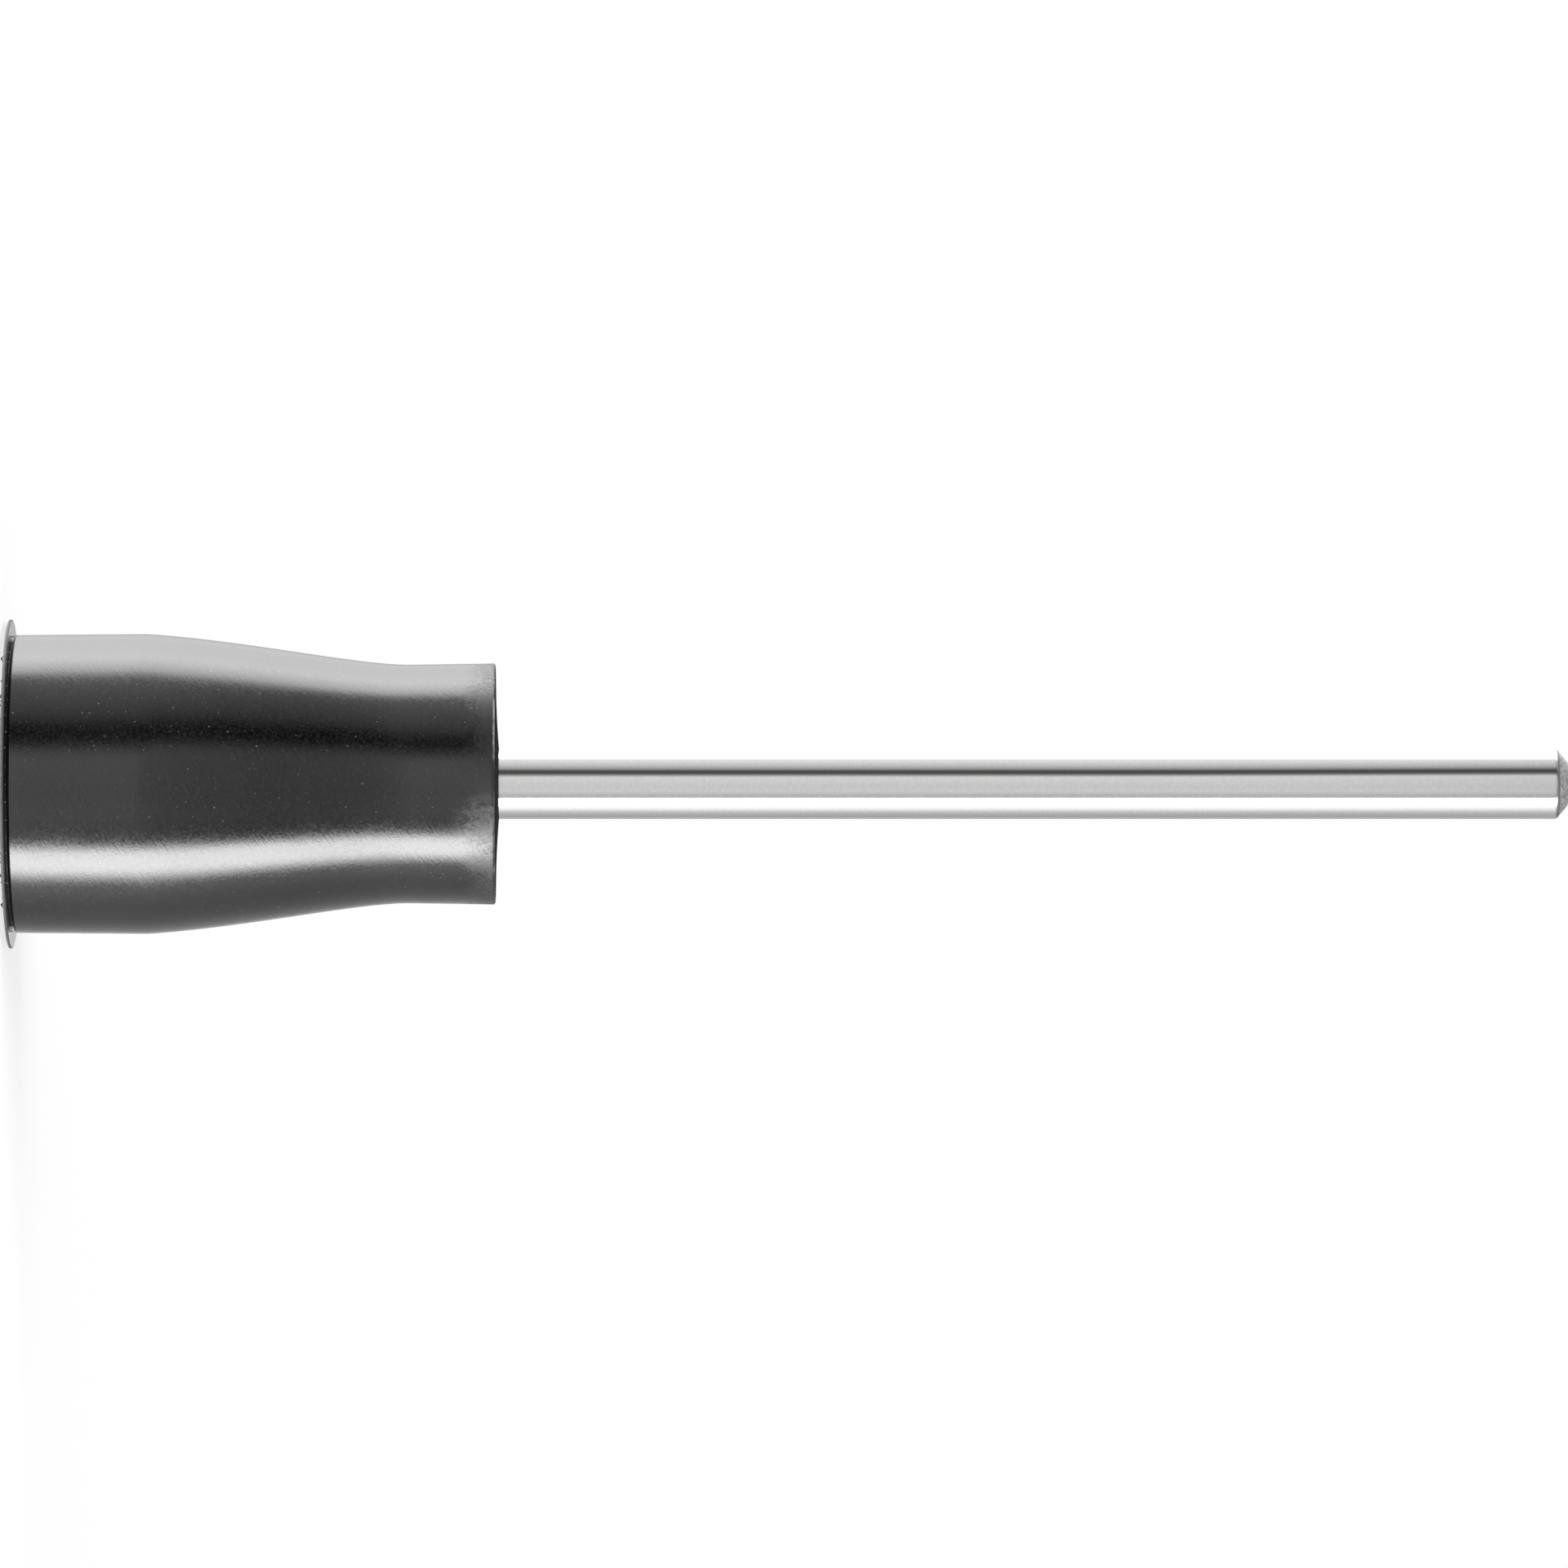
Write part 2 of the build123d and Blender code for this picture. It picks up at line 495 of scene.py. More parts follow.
@dataclass(frozen=True)
class CutNylon:
    """Nylon where the disc was punched out of its sheet: matt and torn, with painted light that makes it paler
    towards the front.
    """

    dark: float = 0.06
    pale: float = 0.24
    painted_light_rise: Range = (0.22 * MM, 0.36 * MM)
    roughness: float = 0.6
    gloss: float = 0.3
    tear_size: float = 0.12 * MM
    tear_wander: float = 0.1 * MM
    tear_height: float = 0.015 * MM

    def material(self) -> Material:
        """Builds the finish.

        Returns:
            The material.
        """
        paint = Paint("cut_nylon")
        tears = paint.noise(self.tear_size, 3.0)
        wander = paint.times(paint.math("SUBTRACT", tears, 0.5), self.tear_wander)
        # painted light: pale at the front of the cut edge, fading to the nylon's own black towards the back
        painted_light_fade = paint.ramp(paint.math("ADD", paint.height(), wander), *self.painted_light_rise)
        colour = paint.tint(painted_light_fade, grey(self.pale), grey(self.dark))
        relief = paint.bump(tears, self.tear_height)
        return paint.coat(colour, self.roughness, Specular_IOR_Level=self.gloss, Normal=relief)


@dataclass(frozen=True)
class PaleFloor:
    """Matt white studio floor that keeps a soft shadow and fades to the white background."""

    colour: float = 0.9
    fibre_size: float = 0.4 * MM
    bounce: float = 0.75
    shadow_share: float = 0.25
    fade: Range = (35 * MM, 110 * MM)

    def material(self) -> Material:
        """Builds the finish.

        Returns:
            The material.
        """
        paint = Paint("pale_floor")
        distance = paint.vector("LENGTH", paint.vector("MULTIPLY", paint.place, (1.0, 1.0, 0.0)))
        fibres = paint.noise(self.fibre_size, 3.0)
        paper = paint.tint(fibres, grey(self.colour * 0.985), grey(self.colour))
        matt = paint.out("ShaderNodeBsdfDiffuse", {"Color": paper})
        white, glow = (paint.out("ShaderNodeEmission", {"Strength": level}) for level in (1.0, self.bounce))
        seen = paint.layer(paint.ramp(distance, *self.fade, self.shadow_share, 0.0), white, matt)
        below = paint.put("ShaderNodeNewGeometry").outputs["Backfacing"]
        seen = paint.layer(below, seen, paint.out("ShaderNodeBsdfTransparent"))
        camera = paint.put("ShaderNodeLightPath").outputs["Is Camera Ray"]
        return paint.close(paint.layer(camera, glow, seen))


def add_object(name: str, data: bpy.types.ID) -> Piece:
    """Adds an object to the scene.

    Args:
        name: the object's name.
        data: its mesh, lamp or camera.

    Returns:
        The object, at the origin and unturned.
    """
    made = bpy.data.objects.new(name, data)
    bpy.context.scene.collection.objects.link(made)
    return made


class GrownShape(Wiring):
    """A Geometry Nodes tree with named inputs, used once or more and turned into plain meshes."""

    def __init__(self, name: str, numbers: dict[str, str]) -> None:
        """Makes the tree with its inputs and outputs.

        Args:
            name: the tree's name.
            numbers: the name and the kind, Float or Int, of each size.
        """
        super().__init__(bpy.data.node_groups.new(name, "GeometryNodeTree"))
        self.sockets: dict[str, str] = {}
        for label, kind in ({"Geometry": "Geometry"} | numbers | {"Finish": "Material"}).items():
            socket = self.tree.interface.new_socket(label, in_out="INPUT", socket_type=f"NodeSocket{kind}")
            self.sockets[label] = socket.identifier
        self.tree.interface.new_socket("Geometry", in_out="OUTPUT", socket_type="NodeSocketGeometry")
        self.given = self.put("NodeGroupInput").outputs

    def drawn(self, kind: str, low: Value, high: Value, shift: int) -> Socket:
        """Draws a random value of a kind for each point; shift is added to the seed."""
        seed = self.math("ADD", self.given["Seed"], shift)
        return self.out("FunctionNodeRandomValue", {"Min": low, "Max": high, "Seed": seed}, data_type=kind)

    def end(self, shape: Socket) -> None:
        """Ends the tree in real faces that carry the finish.

        Args:
            shape: the geometry to give out.
        """
        shape = self.out("GeometryNodeRealizeInstances", {"Geometry": shape})
        shape = self.out("GeometryNodeSetShadeSmooth", {"Geometry": shape})
        shape = self.out("GeometryNodeSetMaterial", {"Geometry": shape, "Material": self.given["Finish"]})
        self.put("NodeGroupOutput", {"Geometry": shape})

    def grow(self, name: str, seed: Mesh, values: dict[str, Value]) -> Piece:
        """Runs the tree on a seed mesh.

        Args:
            name: the piece's name.
            seed: the mesh that the tree starts from.
            values: the sizes and the finish, by the inputs' names.

        Returns:
            An object with a plain mesh and no modifier.
        """
        piece = add_object(name, seed)
        modifier = piece.modifiers.new("grow", "NODES")
        modifier.node_group = self.tree
        for label, value in values.items():
            modifier[self.sockets[label]] = value
        evaluated = piece.evaluated_get(bpy.context.evaluated_depsgraph_get())
        mesh = bpy.data.meshes.new_from_object(evaluated)
        mesh.name = name
        mesh.materials.clear()
        mesh.materials.append(values["Finish"])
        mesh.polygons.foreach_set("material_index", np.zeros(len(mesh.polygons), np.int32))
        piece.modifiers.clear()
        piece.data = mesh
        return piece


class TurnedShape(GrownShape):
    """Turns an outline about Z; where the outline says so, ridges run along it like a straight knurl."""

    seam: float = 0.0002 * MM

    def __init__(self) -> None:
        """Builds the tree."""
        super().__init__("turned_shape", {"Segments": "Int", "Ridges": "Int", "Ridge Depth": "Float"})
        given = self.given
        size = self.put("GeometryNodeAttributeDomainSize", {"Geometry": given["Geometry"]}, component="MESH")
        points = size.outputs["Point Count"]
        columns = self.math("ADD", given["Segments"], 1)
        grid = self.out("GeometryNodeMeshGrid", {"Vertices X": columns, "Vertices Y": points})

        index = self.out("GeometryNodeInputIndex")
        row = self.math("MODULO", index, points)
        column = self.math("FLOOR", self.math("DIVIDE", self.math("ADD", index, 0.5), points))
        angle = self.times(self.math("DIVIDE", column, given["Segments"]), math.tau)
        spot = self.sample("FLOAT_VECTOR", self.out("GeometryNodeInputPosition"), row)
        radius, _, height = self.put("ShaderNodeSeparateXYZ", {0: spot}).outputs
        ridge = self.out("GeometryNodeInputNamedAttribute", {"Name": "ridge"}, data_type="FLOAT")
        wave = self.math("PINGPONG", self.times(angle, given["Ridges"]), math.pi)
        cut = self.times(self.math("DIVIDE", wave, math.pi), given["Ridge Depth"])
        cut = self.times(cut, self.sample("FLOAT", ridge, row))
        radius = self.math("SUBTRACT", radius, cut)

        x, y = (self.times(radius, self.math(part, angle)) for part in ("COSINE", "SINE"))
        spread = self.out("ShaderNodeCombineXYZ", {"X": x, "Y": y, "Z": height})
        skin = self.out("GeometryNodeSetPosition", {"Geometry": grid, "Position": spread})
        self.end(self.out("GeometryNodeMergeByDistance", {"Geometry": skin, "Distance": self.seam}))

    def sample(self, kind: str, value: Value, row: Value) -> Socket:
        """Reads a value of a kind at the outline's point of that row."""
        inputs = {"Geometry": self.given["Geometry"], "Value": value, "Index": row}
        return self.out("GeometryNodeSampleIndex", inputs, data_type=kind, domain="POINT")

    def turn(
        self,
        name: str,
        outline: Outline,
        finish: Material,
        segments: int = 192,
        ridged: Iterable[int] = (),
        ridges: int = 1,
        ridge_depth: float = 0.0,
    ) -> Piece:
        """Turns one outline.

        Args:
            name: the piece's name.
            outline: radius and height of each point, from the lower pole outwards and up.
            finish: the material.
            segments: how many faces go round.
            ridged: numbers of the points that carry the ridges.
            ridges: how many ridges go round.
            ridge_depth: how deep the ridges are cut.

        Returns:
            The turned piece.
        """
        seed = bpy.data.meshes.new(name + "_outline")
        seed.from_pydata([(r, 0.0, z) for r, z in outline], [(i, i + 1) for i in range(len(outline) - 1)], [])
        marks = np.zeros(len(outline), np.float32)
        marks[list(ridged)] = 1.0
        seed.attributes.new("ridge", "FLOAT", "POINT").data.foreach_set("value", marks)
        sizes = {"Segments": segments, "Ridges": ridges, "Ridge Depth": ridge_depth, "Finish": finish}
        return self.grow(name, seed, sizes)


class HookField(GrownShape):
    """Sets a hook on every place of a round field; every other row faces the other way."""

    def __init__(self) -> None:
        """Builds the tree."""
        sizes = {"Pitch": "Float", "Row Pitch": "Float", "Field Radius": "Float", "Sway": "Float", "Seed": "Int"}
        super().__init__("hook_field", sizes)
        both = self.put("GeometryNodeJoinGeometry")
        for shift, turn in ((0, 0.0), (1, math.pi)):
            sway = self.drawn("FLOAT", self.times(self.given["Sway"], -1.0), self.given["Sway"], shift)
            turned = self.out("ShaderNodeCombineXYZ", {"Z": self.math("ADD", sway, turn)})
            stand = {"Points": self.places(shift), "Instance": self.given["Geometry"], "Rotation": turned}
            self.feed(both, 0, self.out("GeometryNodeInstanceOnPoints", stand))
        self.end(both.outputs[0])

    def places(self, shift: int) -> Socket:
        """Makes the points of the forward rows, or of the back rows between them.

        Args:
            shift: 0 for the forward rows and 1 for the back rows.

        Returns:
            The points inside the field.
        """
        given, inputs = self.given, {}
        for side, pitch in (("X", given["Pitch"]), ("Y", self.times(given["Row Pitch"], 2.0))):
            steps = self.math("FLOOR", self.math("DIVIDE", given["Field Radius"], pitch))
            steps = self.math("ADD", self.times(steps, 2.0), float(shift))
            inputs[f"Size {side}"] = self.times(steps, pitch)
            inputs[f"Vertices {side}"] = self.math("ADD", steps, 1.0)
        grid = self.out("GeometryNodeMeshGrid", inputs)
        away = self.vector("LENGTH", self.out("GeometryNodeInputPosition"))
        limits = {"A": away, "B": given["Field Radius"]}
        outside = self.out("FunctionNodeCompare", limits, data_type="FLOAT", operation="GREATER_EQUAL")
        return self.out("GeometryNodeDeleteGeometry", {"Geometry": grid, "Selection": outside}, domain="POINT")


class BeadRing(GrownShape):
    """Sets small uneven beads round a circle."""

    def __init__(self) -> None:
        """Builds the tree."""
        sizes = {"Beads": "Int", "Ring Radius": "Float", "Height": "Float", "Smallest": "Float", "Seed": "Int"}
        super().__init__("bead_ring", sizes | {"Level": "Float"})
        given = self.given
        ring = self.out("GeometryNodeMeshCircle", {"Vertices": given["Beads"], "Radius": given["Ring Radius"]})
        jitter = self.drawn("FLOAT_VECTOR", (-1.0,) * 3, (1.0,) * 3, 0)
        jitter = self.out("ShaderNodeVectorMath", {0: jitter, "Scale": given["Height"]}, operation="SCALE")
        shift = self.vector("ADD", jitter, self.out("ShaderNodeCombineXYZ", {"Z": given["Level"]}))
        points = self.out("GeometryNodeSetPosition", {"Geometry": ring, "Offset": shift})
        lean = self.drawn("FLOAT_VECTOR", (0.0,) * 3, (math.tau,) * 3, 1)
        smallest = self.out("ShaderNodeCombineXYZ", {side: given["Smallest"] for side in "XYZ"})
        size = self.drawn("FLOAT_VECTOR", smallest, (1.0,) * 3, 2)
        stand = {"Points": points, "Instance": given["Geometry"], "Rotation": lean, "Scale": size}
        self.end(self.out("GeometryNodeInstanceOnPoints", stand))


def arc(centre: tuple[float, float], radius: float, start: float, end: float, steps: int) -> Outline:
    """Returns the points of an arc in some steps, with its angles in degrees from the outward direction."""
    angles = np.radians(np.linspace(start, end, steps + 1))
    return [(centre[0] + radius * math.cos(a), centre[1] + radius * math.sin(a)) for a in angles]


def corner(place: Vector, radius: float, start: float, steps: int) -> Outline:
    """Rounds an outer corner in some steps; start is -90 for a lower corner and 0 for an upper one."""
    rise = radius if start < 0 else -radius
    return arc((place.x - radius, place.y + rise), radius, start, start + 90, steps)


def smooth_through(points: Sequence[Vector], start: Vector, end: Vector, steps: int) -> list[Vector]:
    """Runs a smooth curve through points, with its direction given at both ends.

    Args:
        points: the points to pass.
        start: direction at the first point.
        end: direction at the last point.
        steps: how many pieces each span is cut in.

    Returns:
        The curve's points, both ends included.
    """
    knots = np.array([[p.x, p.y] for p in points])
    spans = np.linalg.norm(np.diff(knots, axis=0), axis=1)
    count = len(knots)
    system, right = np.eye(count), np.zeros((count, 2))
    right[0], right[-1] = start.normalized()[:2], end.normalized()[:2]
    for i in range(1, count - 1):
        before, after = spans[i - 1], spans[i]
        system[i, i - 1 : i + 2] = after, 2 * (before + after), before
        slope_in, slope_out = (knots[i] - knots[i - 1]) / before, (knots[i + 1] - knots[i]) / after
        right[i] = 3 * (after * slope_in + before * slope_out)
    slopes = np.linalg.solve(system, right)
    curve = [points[0].copy()]
    for i in range(count - 1):
        for t in np.linspace(0, 1, steps + 1)[1:]:
            value = (
                (2 * t**3 - 3 * t**2 + 1) * knots[i]
                + (t**3 - 2 * t**2 + t) * spans[i] * slopes[i]
                + (3 * t**2 - 2 * t**3) * knots[i + 1]
                + (t**3 - t**2) * spans[i] * slopes[i + 1]
            )
            curve.append(Vector(value))
    return curve


def second_finish(piece: Piece, finish: Material, belongs: Callable[[Vector], bool]) -> None:
    """Gives some faces of a piece another finish.

    Args:
        piece: the piece, which has one finish so far.
        finish: the other finish.
        belongs: says from a face's middle whether the face takes it.
    """
    piece.data.materials.append(finish)
    for polygon in piece.data.polygons:
        if belongs(polygon.center):
            polygon.material_index = 1


def seat(piece: Piece, node: CadNode) -> None:
    """Puts a finished piece in place of its solid and reports it.

    Args:
        piece: the piece, with its place in its mesh.
        node: the solid that it stands for.
    """
    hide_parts(node.value)
    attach(piece, "root")
    LOG.info("%s: %d faces, in place of %s", piece.name, len(piece.data.polygons), node.value)


@dataclass
class BondedEnd:
    """Sizes of the shank's hidden end, shared by the shank and the rubber moulded round it."""

    rubber_in_front: float = 4.5 * MM
    neck_length: float = 0.8 * MM
    neck_radius: float = 1.3 * MM
    crest_radius: float = 1.58 * MM
    ridge_depth: float = 0.2 * MM
    ridges: int = 16
    groove_setback: float = 3.0 * MM
    groove_width: float = 1.2 * MM
    groove_depth: float = 0.4 * MM
    bevel: float = 0.3 * MM


@dataclass
class RubberBody:
    """The moulded rubber body: a barrel, a taper and a collar."""

    turning: TurnedShape
    end: BondedEnd
    finish: MouldedRubber = MouldedRubber()
    rear_finish: MattRubber = MattRubber()
    face_radius: float = 6.36 * MM
    barrel_length: float = 5.84 * MM
    taper_length: float = 10.07 * MM
    waist_radius: float = 5.08 * MM
    collar_flare: float = 0.07 * MM
    taper_belly: float = 0.065 * MM
    shoulder_blend: float = 0.45 * MM
    waist_blend: float = 1.1 * MM
    front_edge: float = 0.12 * MM
    rear_edge: float = 0.1 * MM
    rear_crown: float = 0.14 * MM
    crown_foot: float = 1.52 * MM
    rear_lean: float = 0.0130
    lean_depth: float = 0.6 * MM
    rear_margin: float = 0.0005 * MM
    segments: int = 256
    span_steps: int = 10
    front_steps: int = 6
    rear_steps: int = 5
    barrel_shares: Shares = (0.1, 0.9, 9)
    collar_shares: Shares = (0.12, 0.93, 8)
    crown_shares: Shares = (0.15, 1.0, 12)

    def outline(self) -> Outline:
        """Works out the body's outline from its solid's box and its own sizes.

        Returns:
            The outline from the middle of the front face round to the end of the bore.
        """
        low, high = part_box(CadNode.RUBBER.value)
        front, crown = low.z, high.z
        rear = crown - self.rear_crown
        shoulder = Vector((high.x, front + self.barrel_length))
        waist = Vector((self.waist_radius, shoulder.y + self.taper_length))
        face = Vector((self.face_radius, front))
        back = Vector((self.waist_radius + self.collar_flare, rear))

        run = waist - shoulder
        out = Vector((run.y, -run.x)).normalized()

        def on_taper(share: float) -> Vector:
            """Gives a point of the bellied taper."""
            return shoulder + run * share + out * (4 * self.taper_belly * share * (1 - share))

        barrel_end = face.lerp(shoulder, 1 - self.shoulder_blend / self.barrel_length)
        collar_start = waist.lerp(back, self.waist_blend / (rear - waist.y))
        shares = (self.shoulder_blend / self.taper_length, 0.5, 1 - self.waist_blend / self.taper_length)
        knots = [barrel_end, *(on_taper(share) for share in shares), collar_start]
        flank = smooth_through(knots, shoulder - face, back - waist, self.span_steps)
        points: Outline = [(0.0, front), (self.face_radius * 0.5, front)]
        points += corner(face, self.front_edge, -90, self.front_steps)
        points += [tuple(face.lerp(barrel_end, share)) for share in np.linspace(*self.barrel_shares)]
        points += [tuple(point) for point in flank]
        points += [tuple(collar_start.lerp(back, share)) for share in np.linspace(*self.collar_shares)]
        points += corner(back, self.rear_edge, 0, self.rear_steps)
        start = points[-1][0]
        for share in np.linspace(*self.crown_shares):
            points.append((start + (self.crown_foot - start) * share, rear + self.rear_crown * share**2))
        neck, crest = self.end.neck_radius, self.end.crest_radius
        end_z, top_z = front + self.end.rubber_in_front, crown - self.end.neck_length
        return points + [(neck, crown), (neck, top_z), (crest, top_z), (crest, end_z), (0.0, end_z)]

    def lean(self, mesh: Mesh, rear: float) -> None:
        """Sets the rear face a little out of square, as in the photograph.

        Args:
            mesh: the body's mesh.
            rear: height of the rear edge.
        """
        for vertex in mesh.vertices:
            place = vertex.co
            if place.z < rear - self.lean_depth or place.xy.length < self.crown_foot:
                continue
            rise = min(1.0, (place.z - rear + self.lean_depth) / self.lean_depth)
            spread = (place.xy.length - self.crown_foot) / (self.waist_radius - self.crown_foot)
            place.z -= self.rear_lean * place.y * rise**2 * min(1.0, spread)

    def build(self) -> None:
        """Makes and seats the body, with its rear face in the matt finish."""
        piece = self.turning.turn("rubber_skin", self.outline(), self.finish.material(), self.segments)
        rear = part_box(CadNode.RUBBER.value)[1].z - self.rear_crown
        second_finish(piece, self.rear_finish.material(), lambda middle: middle.z > rear + self.rear_margin)
        self.lean(piece.data, rear)
        seat(piece, CadNode.RUBBER)


@dataclass
class Shank:
    """The steel shank, with its knurled end inside the rubber."""

    turning: TurnedShape
    end: BondedEnd
    finish: GroundSteel = GroundSteel()
    radius: float = 1.5 * MM
    tip_bevel_length: float = 0.5 * MM
    tip_bevel_depth: float = 0.6 * MM
    tip_blend: float = 0.05 * MM
    blend_steps: int = 5
    blend_run: float = 5 * MM
    mouth_ring: float = 0.02 * MM
    faces_per_ridge: int = 8
    knurled: tuple[int, ...] = (2, 3, 6, 7)

    def outline(self) -> Outline:
        """Works out the shank's outline from its solid's box and its own sizes.

        Returns:
            The outline from the knurled end to the tip.
        """
        low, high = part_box(CadNode.SHANK.value)
        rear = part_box(CadNode.RUBBER.value)[1].z
        end, crest = self.end, self.end.crest_radius
        knurl_top = rear - end.neck_length
        groove, deep = low.z + end.groove_setback, crest - end.groove_depth
        points: Outline = [(0.0, low.z), (crest - end.bevel, low.z), (crest, low.z + end.bevel), (crest, groove)]
        points += [(deep, groove), (deep, groove + end.groove_width)]
        points += [(crest, groove + end.groove_width), (crest, knurl_top)]
        points += [(end.neck_radius, knurl_top), (end.neck_radius, rear), (self.radius, rear)]
        start = high.z - self.tip_bevel_length
        points += [(self.radius, rear + self.mouth_ring), (self.radius, (rear + start) / 2)]
        points += self.rounded(Vector((self.radius, start - self.blend_run)), Vector((self.radius, start)))
        return points + [(0.0, high.z)]

    def rounded(self, below: Vector, start: Vector) -> Outline:
        """Rounds the two corners of the tip's bevel.

        Args:
            below: a point on the rod under the bevel.
            start: where the bevel starts.

        Returns:
            The points from the rod over the bevel onto the end face.
        """
        tip = Vector((start.x - self.tip_bevel_depth, start.y + self.tip_bevel_length))
        centre = Vector((0.0, tip.y))
        points: Outline = []
        for before, at, after in ((below, start, tip), (start, tip, centre)):
            back, ahead = (before - at).normalized(), (after - at).normalized()
            for share in np.linspace(0, 1, self.blend_steps + 1):
                first = at + back * self.tip_blend * 2 * (1 - share)
                second = at + ahead * self.tip_blend * 2 * share
                points.append(tuple(first.lerp(second, share)))
        return points

    def build(self) -> None:
        """Makes and seats the shank."""
        ridges, depth = self.end.ridges, self.end.ridge_depth
        segments, steel = ridges * self.faces_per_ridge, self.finish.material()
        piece = self.turning.turn("shank_steel", self.outline(), steel, segments, self.knurled, ridges, depth)
        seat(piece, CadNode.SHANK)


@dataclass
class AdhesiveFilm:
    """The film that joins the disc to the rubber, and the beads that it squeezed out."""

    turning: TurnedShape
    beading: BeadRing
    finish: ContactAdhesive = ContactAdhesive()
    bead_finish: DriedBead = DriedBead()
    beads: int = 52
    bead_radius: float = 0.045 * MM
    squeezed_out: float = 0.2 * MM
    bulge_steps: int = 6
    smallest: float = 0.2
    seed: int = 3

    def bead_mesh(self) -> Mesh:
        """Makes one bead.

        Returns:
            Its mesh.
        """
        shape = bmesh.new()
        bmesh.ops.create_icosphere(shape, subdivisions=1, radius=self.bead_radius)
        mesh = bpy.data.meshes.new("bead")
        shape.to_mesh(mesh)
        shape.free()
        return mesh

    def build(self) -> None:
        """Makes and seats the film and its beads."""
        low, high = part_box(CadNode.FILM.value)
        bulge = (high.z - low.z) / 2
        outline: Outline = [(0.0, low.z), (high.x - 4 * bulge, low.z)]
        outline += arc((high.x - bulge, low.z + bulge), bulge, -90, 90, self.bulge_steps)
        outline += [(high.x - 4 * bulge, high.z), (0.0, high.z)]
        film = self.turning.turn("film_edge", outline, self.finish.material())
        seat(film, CadNode.FILM)
        sizes = {
            "Beads": self.beads,
            "Ring Radius": high.x + self.squeezed_out,
            "Height": bulge / 2,
            "Smallest": self.smallest,
            "Seed": self.seed,
            "Level": (low.z + high.z) / 2,
            "Finish": self.bead_finish.material(),
        }
        beads = self.beading.grow("adhesive_beads", self.bead_mesh(), sizes)
        seat(beads, CadNode.FILM)


@dataclass
class HookDisc:
    """The nylon sheet and the field of hooks moulded on its front face."""

    turning: TurnedShape
    hooks: HookField
    finish: HookNylon = HookNylon()
    edge_finish: CutNylon = CutNylon()
    sheet_thickness: float = 0.13 * MM
    edge_radius: float = 0.035 * MM
    edge_steps: int = 4
    border: float = 1.1 * MM
    pitch: float = 0.95 * MM
    row_pitch: float = 0.9 * MM
    sway: float = 0.05
    seed: int = 7
    reach: float = 0.22 * MM
    nose_drop: float = 0.13 * MM
    neck: float = 0.09 * MM
    root: float = 0.26 * MM
    width: float = 0.18 * MM
    sides: int = 6

    def sheet_outline(self, high: Vector) -> Outline:
        """Gives the sheet's outline.

        Args:
            high: the highest corner of the disc's solid.

        Returns:
            The outline from the front pole round to the back pole.
        """
        front, back, rim = high.z - self.sheet_thickness, high.z, high.x
        flat = rim - 3 * self.edge_radius
        points: Outline = [(0.0, front), (flat, front)]
        points += corner(Vector((rim, front)), self.edge_radius, -90, self.edge_steps)
        points += corner(Vector((rim, back)), self.edge_radius, 0, self.edge_steps)
        return points + [(flat, back), (rim * 0.5, back), (0.0, back)]

    def hook_mesh(self, height: float) -> Mesh:
        """Makes one hook: a root, a stem, a crown and a nose, in round sections.

        Args:
            height: from the crown to the sheet.

        Returns:
            The hook's mesh, rooted at the middle and turned over towards X.
        """
        half = self.neck / 2
        stations = [
            (0.0, height + 0.02 * MM, self.root / 2, 0.0),
            (0.0, height * 0.86, self.root * 0.3, 0.0),
            (0.0, height * 0.62, half, 0.0),
            (half * 0.15, half * 1.5, half, -0.35),
            (self.reach * 0.3, half, half, -1.25),
            (self.reach * 0.62, half * 1.05, half * 0.95, -1.9),
            (self.reach - half * 0.8, self.nose_drop * 0.66, half * 0.75, -2.6),
            (self.reach - half * 0.72, self.nose_drop, half * 0.35, -2.9),
        ]
        vertices, faces = [], []
        for x, z, thick, lean in stations:
            for side in range(self.sides):
                angle = math.tau * side / self.sides
                across = thick * math.cos(angle)
                wide = self.width / 2 * math.sin(angle) * min(1.0, 0.55 + thick / self.neck)
                vertices.append((x + across * math.cos(lean), wide, max(0.0, z + across * math.sin(lean))))
        for ring in range(len(stations) - 1):
            for side in range(self.sides):
                a, b = ring * self.sides + side, ring * self.sides + (side + 1) % self.sides
                faces.append((a, b, b + self.sides, a + self.sides))
        last = (len(stations) - 1) * self.sides
        faces += [tuple(reversed(range(self.sides))), tuple(range(last, last + self.sides))]
        mesh = bpy.data.meshes.new("hook")
        mesh.from_pydata(vertices, [], faces)
        return mesh

    def build(self) -> None:
        """Makes and seats the sheet and its hooks."""
        low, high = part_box(CadNode.DISC.value)
        finish = self.finish.material()
        sheet = self.turning.turn("hook_sheet", self.sheet_outline(high), finish)
        second_finish(sheet, self.edge_finish.material(), lambda middle: middle.xy.length > high.x - self.edge_radius)
        seat(sheet, CadNode.DISC)
        sizes = {
            "Pitch": self.pitch,
            "Row Pitch": self.row_pitch,
            "Field Radius": high.x - self.border,
            "Sway": self.sway,
            "Seed": self.seed,
            "Finish": finish,
        }
        field_piece = self.hooks.grow("hook_rows", self.hook_mesh(high.z - self.sheet_thickness - low.z), sizes)
        seat(field_piece, CadNode.DISC)


